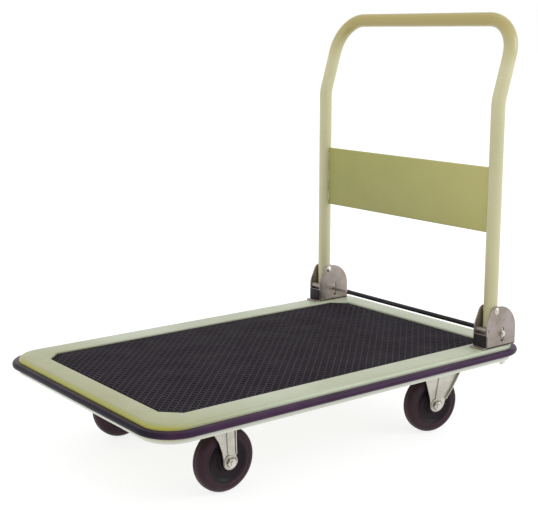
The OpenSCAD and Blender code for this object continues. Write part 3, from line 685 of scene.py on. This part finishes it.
def pressed_deck():
    """The deck shell: rolled skirt with an inward lip, raised border, softened recess."""
    bm = slab(rectangle(-DECK_L / 2, DECK_L / 2, -DECK_W / 2, DECK_W / 2), -SKIRT_H,
              all_round(DECK_CORNER, 16))
    bmesh.ops.translate(bm, vec=(0, 0, BORDER_Z), verts=bm.verts)
    top = widest_face_at(bm, BORDER_Z)
    round_off(bm, top.edges[:], ROLL, 7)
    under = widest_face_at(bm, BORDER_Z - SKIRT_H)
    bmesh.ops.inset_region(bm, faces=[under], thickness=LIP, depth=0.0, use_even_offset=True)
    bmesh.ops.delete(bm, geom=[widest_face_at(bm, BORDER_Z - SKIRT_H)], context="FACES_ONLY")
    top = widest_face_at(bm, BORDER_Z)
    rim = top.edges[:]
    bmesh.ops.delete(bm, geom=[top], context="FACES_ONLY")
    corners = chamfered(MAT_L / 2 + MAT_GAP, MAT_W / 2 + MAT_GAP, MAT_CHAMFER)
    lip = [bm.verts.new((x + MAT_X, y, BORDER_Z)) for x, y in corners]
    mouth = [bm.edges.new((lip[i], lip[i - 1])) for i in range(len(lip))]
    bmesh.ops.bridge_loops(bm, edges=rim + mouth)
    wall = bmesh.ops.extrude_edge_only(bm, edges=mouth)["geom"]
    bmesh.ops.translate(bm, vec=(0, 0, PAN_Z - BORDER_Z), verts=verts_of(wall))
    foot = [e for e in edges_of(wall) if all(abs(v.co.z - PAN_Z) < LEVEL for v in e.verts)]
    bmesh.ops.edgeloop_fill(bm, edges=foot)
    mouth_r = 2.4
    round_off(bm, mouth, mouth_r, 4, clamp=True)
    bmesh.ops.recalc_face_normals(bm, faces=bm.faces)
    if widest_face_at(bm, PAN_Z).normal.z < 0:
        bmesh.ops.reverse_faces(bm, faces=bm.faces)
    piece = make_piece("deck_shell", bm, FINISHES["ivory_paint"], "platform",
                       ["platform_deck"], turn_normals=False)
    sheet = piece.modifiers.new("sheet", "SOLIDIFY")
    sheet.thickness = SHEET * MM
    sheet.offset = -1.0
    sheet.use_even_offset = True


def deck_mat():
    """The mat: a chamfered rubber sheet with rows of small slanting treads."""
    a, b, c = MAT_L / 2, MAT_W / 2, MAT_CHAMFER
    tread_h, half_l, half_w = 0.7, 4.7, 1.5
    root = 0.1
    bm = slab(chamfered(a, b, c), MAT_T - tread_h, soft=0.9, steps=2)
    # One cell holds two treads, slanting opposite ways. Each is cut open at its root
    pitch = 9.0
    treads = bmesh.new()
    for shift, slant in ((0.0, 38.0), (pitch, -38.0)):
        bar = slab(rectangle(-half_l, half_l, -half_w, half_w), tread_h + root, soft=0.45,
                   steps=1)
        bmesh.ops.bisect_plane(bar, geom=bar.verts[:] + bar.edges[:] + bar.faces[:],
                               plane_co=(0, 0, root), plane_no=(0, 0, -1), clear_outer=True)
        join(treads, bar, Matrix.Translation((shift, 0, 0))
             @ Matrix.Rotation(math.radians(slant), 4, "Z"))
    row = treads.copy()
    join(treads, row, Matrix.Translation((pitch, pitch, 0)))
    # Double the field six times along each axis
    doublings = 6
    for axis in (0, 1):
        for step in range(doublings):
            copy = treads.copy()
            move = [0, 0, 0]
            move[axis] = 2 * pitch * 2 ** step
            join(treads, copy, Matrix.Translation(move))
    # Trim the field of treads to the mat, inside a plain margin
    margin = 5.0
    reach = 2 ** doublings * pitch
    bmesh.ops.translate(treads, vec=(-reach, -reach, 0), verts=treads.verts)
    doomed = [v for v in treads.verts
              if abs(v.co.x) > a - margin or abs(v.co.y) > b - margin
              or abs(v.co.x) + abs(v.co.y) > a + b - c - 1.4 * margin]
    broken = {f for v in doomed for f in v.link_faces}
    bmesh.ops.delete(treads, geom=list(broken), context="FACES")
    torn = [v for v in treads.verts if not v.link_faces]
    bmesh.ops.delete(treads, geom=torn, context="VERTS")
    join(bm, treads, Matrix.Translation((0, 0, MAT_T - tread_h - root)))
    bmesh.ops.translate(bm, vec=(MAT_X, 0, PAN_Z), verts=bm.verts)
    make_piece("mat_sheet", bm, FINISHES["mat_black"], "platform", ["platform_mat"])


def vinyl_bumper():
    """The bumper: a rounded vinyl extrusion all round the skirt."""
    a, b = DECK_L / 2 + BUMPER_OUT, DECK_W / 2 + BUMPER_OUT
    bm = slab(rectangle(-a, a, -b, b), BUMPER_H, all_round(DECK_CORNER + BUMPER_OUT, 18))
    round_r = 5.6
    for z in (0.0, BUMPER_H):
        round_off(bm, widest_face_at(bm, z).edges[:], round_r, 6)
    loops = []
    for z in (0.0, BUMPER_H):
        bmesh.ops.inset_region(bm, faces=[widest_face_at(bm, z)],
                               thickness=BUMPER_OUT - round_r, depth=0.0, use_even_offset=True)
        inner = widest_face_at(bm, z)
        loops += inner.edges[:]
        bmesh.ops.delete(bm, geom=[inner], context="FACES_ONLY")
    bmesh.ops.bridge_loops(bm, edges=loops)
    bmesh.ops.translate(bm, vec=(0, 0, bumper_low.z), verts=bm.verts)
    make_piece("bumper_rail", bm, FINISHES["bumper_indigo"], "platform", ["bumper_strip"])


# ---------------------------------------------------------------- handle


def handle_loop():
    """The handle: one bent tube, drawn as half a loop and mirrored."""
    bm = bmesh.new()
    ring = bmesh.ops.create_circle(bm, cap_ends=False, segments=44, radius=TUBE_R)["verts"]
    bmesh.ops.translate(bm, vec=(POST_X, -POST_Y, POST_END_Z), verts=ring)
    front = bm.edges[:]

    def run(edges, vec):
        pulled = bmesh.ops.extrude_edge_only(bm, edges=edges)["geom"]
        ends = verts_of(pulled)
        bmesh.ops.translate(bm, vec=vec, verts=ends)
        return [e for e in bm.edges if e.verts[0] in ends and e.verts[1] in ends]

    def bend(edges, centre, axis, angle, steps):
        swung = bmesh.ops.spin(bm, geom=edges, cent=centre, axis=axis, dvec=(0, 0, 0),
                               angle=angle, steps=steps, use_merge=False,
                               use_duplicate=False)["geom_last"]
        return edges_of(swung)

    straight_end = BEND_Z - BEND_TANGENT
    along = Vector((math.sin(LEAN), 0, math.cos(LEAN)))
    across = Vector((math.cos(LEAN), 0, -math.sin(LEAN)))
    front = run(front, (0, 0, straight_end - POST_END_Z))
    front = bend(front, (POST_X + BEND_R, -POST_Y, straight_end), (0, 1, 0), LEAN, 6)
    reach = LEAN_LEN - TOP_R - BEND_TANGENT
    front = run(front, along * reach)
    corner = (Vector((POST_X, -POST_Y, BEND_Z)) + along * (LEAN_LEN - TOP_R)
              + Vector((0, TOP_R, 0)))
    front = bend(front, corner, across, -math.pi / 2, 16)
    run(front, (0, POST_Y - TOP_R, 0))
    mirrored(bm, "Y")
    piece = make_piece("handle_loop", bm, FINISHES["cream_paint"], "handle", ["handle_tube"])
    wall = piece.modifiers.new("tube_wall", "SOLIDIFY")
    wall.thickness = TUBE_WALL * MM
    wall.offset = -1.0


def handle_panel_sheet():
    """The panel: a sheet with a rolled hem along its upper and lower edges."""
    # The sheet runs a little way into the posts' walls, where it is welded
    half = POST_Y - TUBE_R + 0.4
    bm = bmesh.new()
    low = panel_low.z + BEAD_R
    high = panel_high.z - BEAD_R
    hem = BEAD_R - PANEL_T / 2
    ends = [bm.verts.new((POST_X, y, low)) for y in (-half, half)]
    first = bm.edges.new(ends)
    pulled = bmesh.ops.extrude_edge_only(bm, edges=[first])["geom"]
    tops = verts_of(pulled)
    bmesh.ops.translate(bm, vec=(0, 0, high - low), verts=tops)
    last = next(e for e in bm.edges if set(e.verts) == set(tops))
    for edge, z, sweep in ((last, high, -1), (first, low, 1)):
        bmesh.ops.spin(bm, geom=[edge], cent=(POST_X + hem, 0, z), axis=(0, 1, 0),
                       dvec=(0, 0, 0), angle=-sweep * math.radians(285), steps=14,
                       use_merge=False, use_duplicate=False)
    piece = make_piece("panel_sheet", bm, FINISHES["olive_panel"], "handle", ["handle_panel"])
    sheet = piece.modifiers.new("sheet", "SOLIDIFY")
    sheet.thickness = PANEL_T * MM
    sheet.offset = 0.0


def panel_welds():
    """Short weld beads where the panel meets the posts."""
    inset, blob_r, blobs, pitch = 20, 2.1, 7, 3.0
    heights = (panel_low.z + inset, (panel_low.z + panel_high.z) / 2, panel_high.z - inset)
    bm = bmesh.new()
    for side in (-1, 1):
        y = side * (POST_Y - TUBE_R)
        for k, z in enumerate(heights):
            for i in range(blobs):
                blob = bmesh.new()
                bmesh.ops.create_icosphere(blob, subdivisions=2, radius=blob_r)
                swell = 1.0 + 0.12 * math.sin(2.3 * i + k)
                join(bm, blob, Matrix.Translation((POST_X + 0.2, y, z - 9 + pitch * i))
                     @ Matrix.Diagonal((swell, 0.9, 1.05, 1)))
    make_piece("panel_weld_beads", bm, FINISHES["cream_paint"], "handle")


# ---------------------------------------------------------------- hinge brackets


def hinge_bracket(side, label):
    """One bracket: two cheek plates on a foot, with a front web, and a black sheet on the web's
    front as painted shade between the plates.
    """
    top_start, front_edge_h = 17, 47.5
    cheek_corners = [(0, 0), (BRACKET_L, 0), (BRACKET_L, BRACKET_H), (top_start, BRACKET_H),
                     (0, front_edge_h)]
    rounds = [(2, 51.0, 18), (3, 9.0, 4), (4, 7.0, 4)]
    slot_r, slot_ease = 4.4, 0.1
    slot_low = BAR_Z - BAR_PRESS + slot_ease - BORDER_Z
    slot_high = BAR_Z + BAR_LOCK - slot_ease - BORDER_Z
    holes = [(BAR_X - BRACKET_X, slot_low, slot_r, slot_high - slot_low)]
    bm = bmesh.new()
    for y in (BRACKET_OUT, PLATE_T - BRACKET_OUT):
        cheek = pierced(cheek_corners, rounds, holes, PLATE_T, 0.7)
        join(bm, cheek, Matrix.Translation((BRACKET_X, y, BORDER_Z)) @ ON_EDGE)
    foot_edge = rectangle(FOOT_X, BRACKET_X + BRACKET_L, -BRACKET_OUT, BRACKET_OUT)
    foot = slab(foot_edge, PLATE_T, [(0, 4.0, 4), (3, 4.0, 4)], soft=0.6)
    join(bm, foot, Matrix.Translation((0, 0, BORDER_Z)))
    web = slab(rectangle(-BRACKET_OUT, BRACKET_OUT, 0, WEB_H), PLATE_T,
               [(2, 3.0, 3), (3, 3.0, 3)], soft=0.6)
    join(bm, web, Matrix.Translation((BRACKET_X, 0, BORDER_Z)) @ FACING_X)
    bmesh.ops.translate(bm, vec=(0, side * POST_Y, 0), verts=bm.verts)
    make_piece("bracket_body_" + label, bm, FINISHES["plated_bracket"], "platform",
               ["hinge_bracket_" + label], turn_normals=False)
    # Painted shade: a black plastic sheet over the web's front stands in for the shade between the
    # cheek plates.
    shade_sheet_t, shade_sheet_sink, margin = 1.4, 0.2, 1.4
    shade_sheet_edge = rectangle(margin - BRACKET_OUT, BRACKET_OUT - margin, PLATE_T + 0.4, WEB_H - 1.0)
    shade_sheet = slab(shade_sheet_edge, shade_sheet_t, all_round(2.0, 3), soft=0.4)
    place = Matrix.Translation((BRACKET_X - shade_sheet_t + shade_sheet_sink, side * POST_Y, BORDER_Z))
    bmesh.ops.transform(shade_sheet, verts=shade_sheet.verts, matrix=place @ FACING_X)
    make_piece("bracket_shade_sheet_" + label, shade_sheet, FINISHES["plug_plastic"], "platform")


# ---------------------------------------------------------------- casters


def leg_shape(front, back):
    """Outline of a fork leg with a round end below the axle."""
    corners = [(-LEG_END_R, -LEG_END_R), (LEG_END_R, -LEG_END_R)] + back + front[::-1]
    return corners, [(0, LEG_END_R - 0.05, 10), (1, LEG_END_R - 0.05, 10)]


def fork_leg(front, back, rib_low, rib_high, flange):
    """One leg at the +Y side: sheet, pressed rib, rimmed end and turned-out rear flange."""
    corners, rounds = leg_shape(front, back)
    leg = bmesh.new()
    axle_hole_r = 5.05
    join(leg, pierced(corners, rounds, [(0, 0, axle_hole_r, 0)], FORK_T, 0.8),
         Matrix.Translation((0, LEG_OUT, 0)) @ ON_EDGE)
    (x0, z0), (x1, z1) = rib_low, rib_high
    rib = slab([(x0 - 8.0, z0), (x0 + 8.0, z0), (x1 + 8.5, z1), (x1 - 8.5, z1)], 3.4,
               [(0, 5.0, 4), (1, 5.0, 4)], soft=2.6, steps=4)
    join(leg, rib, Matrix.Translation((0, LEG_OUT + 3.0, 0)) @ ON_EDGE)
    # Rim pressed up round the end of the leg
    band = outline(rectangle(LEG_END_R - 3.2, LEG_END_R - 0.2, 0, 2.6), all_round(0.9, 2))
    bmesh.ops.rotate(band, cent=(0, 0, 0), matrix=Matrix.Rotation(math.pi / 2, 3, "X"),
                     verts=band.verts)
    bmesh.ops.spin(band, geom=band.verts[:] + band.edges[:] + band.faces[:], cent=(0, 0, 0),
                   axis=(0, 0, 1), dvec=(0, 0, 0), angle=math.radians(216), steps=30,
                   use_merge=False, use_duplicate=False)
    bmesh.ops.recalc_face_normals(band, faces=band.faces)
    # Ends of the rim point up on both sides of the axle
    join(leg, band, Matrix.Translation((0, LEG_OUT - 0.2, 0))
         @ Matrix.Rotation(math.radians(162), 4, "Y") @ Matrix.Rotation(-math.pi / 2, 4, "X"))
    if flange:
        strip = bmesh.new()
        line = [strip.verts.new((x, LEG_IN + 0.4, z)) for x, z in back]
        run = [strip.edges.new(pair) for pair in zip(line, line[1:])]
        out = bmesh.ops.extrude_edge_only(strip, edges=run)["geom"]
        bmesh.ops.translate(strip, vec=(0, FORK_T + flange, 0), verts=verts_of(out))
        bmesh.ops.recalc_face_normals(strip, faces=strip.faces)
        strip.faces.ensure_lookup_table()
        if strip.faces[0].normal.x < 0:
            bmesh.ops.reverse_faces(strip, faces=strip.faces)
        bmesh.ops.solidify(strip, geom=strip.faces[:], thickness=2.4)
        bmesh.ops.recalc_face_normals(strip, faces=strip.faces)
        soften_edges(strip, 0.8, 2)
        join(leg, strip)
    return leg


def mount_plate():
    """A mounting plate with its four bolt holes, at the mounting height."""
    bolt_x, bolt_y, bolt_hole_r = 43, 32, 4.3
    holes = [(x, y, bolt_hole_r, 0) for x in (-bolt_x, bolt_x) for y in (-bolt_y, bolt_y)]
    edge = rectangle(-MOUNT_HALF_L, MOUNT_HALF_L, -MOUNT_HALF_W, MOUNT_HALF_W)
    plate = pierced(edge, all_round(8, 5), holes, PLATE_TOP_Z - MOUNT_Z, 0.8)
    bmesh.ops.translate(plate, vec=(0, 0, MOUNT_Z), verts=plate.verts)
    return plate


def rigid_fork(side, label):
    """A fixed caster's fork, welded to its mounting plate."""
    top = MOUNT_Z - WHEEL_R
    front = [(-15, 6), (-18, 22), (-25, 42), (-38, 62), (-49, top)]
    back = [(13, 14), (12, 40), (12, top)]
    bm = bmesh.new()
    legs = fork_leg(front, back, (1.5, 13), (-2.5, top - 0.5), 3.0)
    mirrored(legs, "Y")
    join(bm, legs, Matrix.Translation((0, 0, WHEEL_R)))
    join(bm, mount_plate(), Matrix.Translation((-6, 0, 0)))
    bridge = slab(rectangle(-48.5, 12, 0.5 - LEG_OUT, LEG_OUT - 0.5), FORK_T, soft=0.6)
    join(bm, bridge, Matrix.Translation((0, 0, MOUNT_Z - FORK_T)))
    bmesh.ops.translate(bm, vec=(FRONT_AXLE_X, side * FRONT_Y, 0), verts=bm.verts)
    make_piece("rigid_fork_body_" + label, bm, FINISHES["caster_zinc"], "platform",
               ["rigid_fork_" + label], turn_normals=False)


def swivel_place(side):
    """Where a swivel axis stands, turned as the rear casters stand at rest."""
    return Matrix.Translation((SWIVEL_X, side * SWIVEL_Y, 0)) @ Matrix.Rotation(YAW, 4, "Z")


def swivel_fork(side, label):
    """A swivelling fork: legs, crown and the dust lip round the upper race."""
    top = CROWN_Z - FORK_T - WHEEL_R + 1.0
    front = [(-16, 12), (-22, 34), (-29, 58), (-31, top)]
    back = [(23, 10), (38, 30), (57, 62), (68, top)]
    bm = bmesh.new()
    legs = fork_leg(front, back, (3.5, 13), (16, top - 0.5), 3.0)
    mirrored(legs, "Y")
    join(bm, legs, Matrix.Translation((-TRAIL, 0, WHEEL_R)))
    king_hole_r = 6.05
    crown = pierced(rectangle(-31 - TRAIL, 32, -LEG_OUT + 0.4, LEG_OUT - 0.4), [],
                    [(0, 0, king_hole_r, 0)], FORK_T, 0.6)
    join(bm, crown, Matrix.Translation((0, 0, CROWN_Z - FORK_T)))
    cup = turned([(king_hole_r, 0.05), (40.2, 0.05), (41.0, 0.9), (41.0, FORK_T + 4.4),
                  (40.4, FORK_T + 5.0), (39.6, FORK_T + 5.0), (39.0, FORK_T + 4.4),
                  (39.0, FORK_T + 0.6), (38.0, FORK_T - 0.05), (king_hole_r, FORK_T - 0.05),
                  (king_hole_r, 0.05)], 72)
    join(bm, cup, Matrix.Translation((0, 0, CROWN_Z - FORK_T)))
    bmesh.ops.transform(bm, matrix=swivel_place(side), verts=bm.verts)
    make_piece("swivel_fork_body_" + label, bm, FINISHES["caster_zinc"], "swivel_" + label,
               ["swivel_fork_" + label], turn_normals=False)


def tyre_shape():
    """A domed tyre with a stepped sidewall and a faint mould line."""
    r, w = WHEEL_R, WHEEL_HALF_W
    half = [(CORE_R, w - 1.0), (CORE_R + 1.0, w), (CORE_R + 5.0, w), (CORE_R + 5.8, w - 0.5)]
    dome = TYRE_EDGE_R
    half += [(r - dome - 2.0, w - 0.5), (r - dome, w)]
    dome_steps = 8
    for i in range(1, dome_steps + 1):
        angle = math.radians(90 * i / dome_steps)
        half.append((r - dome + dome * math.sin(angle), w - dome + dome * math.cos(angle)))
    half.append((r, 0.7))
    half.append((r - 0.25, 0.35))
    full = half + [(a, -b) for a, b in reversed(half)]
    full.append(full[0])
    return turned(full, 128)


def core_shape():
    """The wheel core: rim, dished web and hub boss."""
    w = WHEEL_HALF_W
    half = [(BUSH_R, w), (18.5, w), (19.6, w - 1.1), (21.5, w - 5.0), (24.5, w - 6.2),
            (33.0, w - 5.6), (37.0, w - 3.8), (39.4, w - 1.2), (40.6, w - 1.0), (CORE_R, w - 1.0)]
    full = half + [(a, -b) for a, b in reversed(half)]
    full.append(full[0])
    return turned(full, 96)


def wheel(label, place, body, front_or_rear):
    """A tyre and a core with their axle along Y."""
    lay = place @ Matrix.Rotation(-math.pi / 2, 4, "X")
    for kind, shape, finish in (("tyre", tyre_shape, "tyre_black"),
                                ("core", core_shape, "core_plastic")):
        bm = shape()
        bmesh.ops.transform(bm, matrix=lay, verts=bm.verts)
        node = "_".join((front_or_rear, kind, label))
        make_piece(node + "_moulding", bm, FINISHES[finish], body, [node])


def all_wheels():
    for side, label in ((-1, "near"), (1, "far")):
        wheel(label, Matrix.Translation((FRONT_AXLE_X, side * FRONT_Y, WHEEL_R)),
              "front_wheel_" + label, "front")
        wheel(label, swivel_place(side) @ Matrix.Translation((-TRAIL, 0, WHEEL_R)),
              "rear_wheel_" + label, "rear")


# ---------------------------------------------------------------- carried-over pieces


def dress_frame_nodes():
    """Gives every frame node the finish of its own slot."""
    slots = {part["node"]: part["material_slot"] for part in frame["record"]["subparts"]}
    for name, node in frame["nodes"].items():
        node.data.materials.clear()
        node.data.materials.append(FINISHES[slots[name]])


# ---------------------------------------------------------------- stage, lights and camera


def pale_floor():
    f = Finish("pale_floor", "stage")
    drift = f.effect("tone_drift", tone=(0.32, 0.32, 0.32), other_tone=(0.29, 0.29, 0.29),
                     scale=0.6)
    f.link(drift.outputs["Color"], f.shader.inputs["Base Color"])
    f.constants(roughness=1.0, emission_color=(1, 1, 1, 1), emission_strength=0.78)
    bm = bmesh.new()
    bmesh.ops.create_grid(bm, x_segments=1, y_segments=1, size=30.0)
    mesh = bpy.data.meshes.new("floor")
    bm.to_mesh(mesh)
    bm.free()
    floor = bpy.data.objects.new("floor", mesh)
    bpy.context.scene.collection.objects.link(floor)
    mesh.materials.append(f.material)


def softbox(name, place, aim, size, power, tint=(1, 1, 1)):
    lamp = bpy.data.lights.new(name, "AREA")
    lamp.shape = "RECTANGLE"
    lamp.size, lamp.size_y = size
    lamp.energy = power
    lamp.color = tint
    holder = bpy.data.objects.new(name, lamp)
    bpy.context.scene.collection.objects.link(holder)
    holder.location = place
    holder.rotation_euler = (Vector(aim) - Vector(place)).to_track_quat("-Z", "Y").to_euler()


def studio():
    world = bpy.data.worlds.new("studio")
    world.use_nodes = True
    world.node_tree.nodes["Background"].inputs["Color"].default_value = (1, 1, 1, 1)
    world.node_tree.nodes["Background"].inputs["Strength"].default_value = 1.0
    bpy.context.scene.world = world
    softbox("overhead", (0.2, -0.2, 3.2), (0, 0, 0.2), (3.0, 3.0), 12)
    softbox("right_key", (2.6, -2.4, 2.2), (0.1, 0, 0.3), (1.6, 1.6), 44, (0.88, 0.93, 1.0))
    softbox("left_fill", (-3.0, 0.4, 1.4), (0, 0, 0.3), (1.4, 1.8), 6, (1.0, 0.99, 0.95))
    bpy.context.scene.view_settings.view_transform = "Standard"


def three_quarter_camera():
    lens = bpy.data.cameras.new("camera")
    lens.sensor_width = 36.0
    lens.lens = 76.2
    lens.clip_end = 100.0
    holder = bpy.data.objects.new("camera", lens)
    bpy.context.scene.collection.objects.link(holder)
    holder.location = (-1.3896, -1.8079, 0.8338)
    holder.rotation_euler = Vector((0.5969, 0.7785, -0.1937)).to_track_quat("-Z", "Y").to_euler()
    bpy.context.scene.camera = holder


dress_frame_nodes()
pressed_deck()
deck_mat()
vinyl_bumper()
handle_loop()
handle_panel_sheet()
panel_welds()
for side, label in ((-1, "near"), (1, "far")):
    hinge_bracket(side, label)
    rigid_fork(side, label)
    swivel_fork(side, label)
all_wheels()
pale_floor()
studio()
three_quarter_camera()
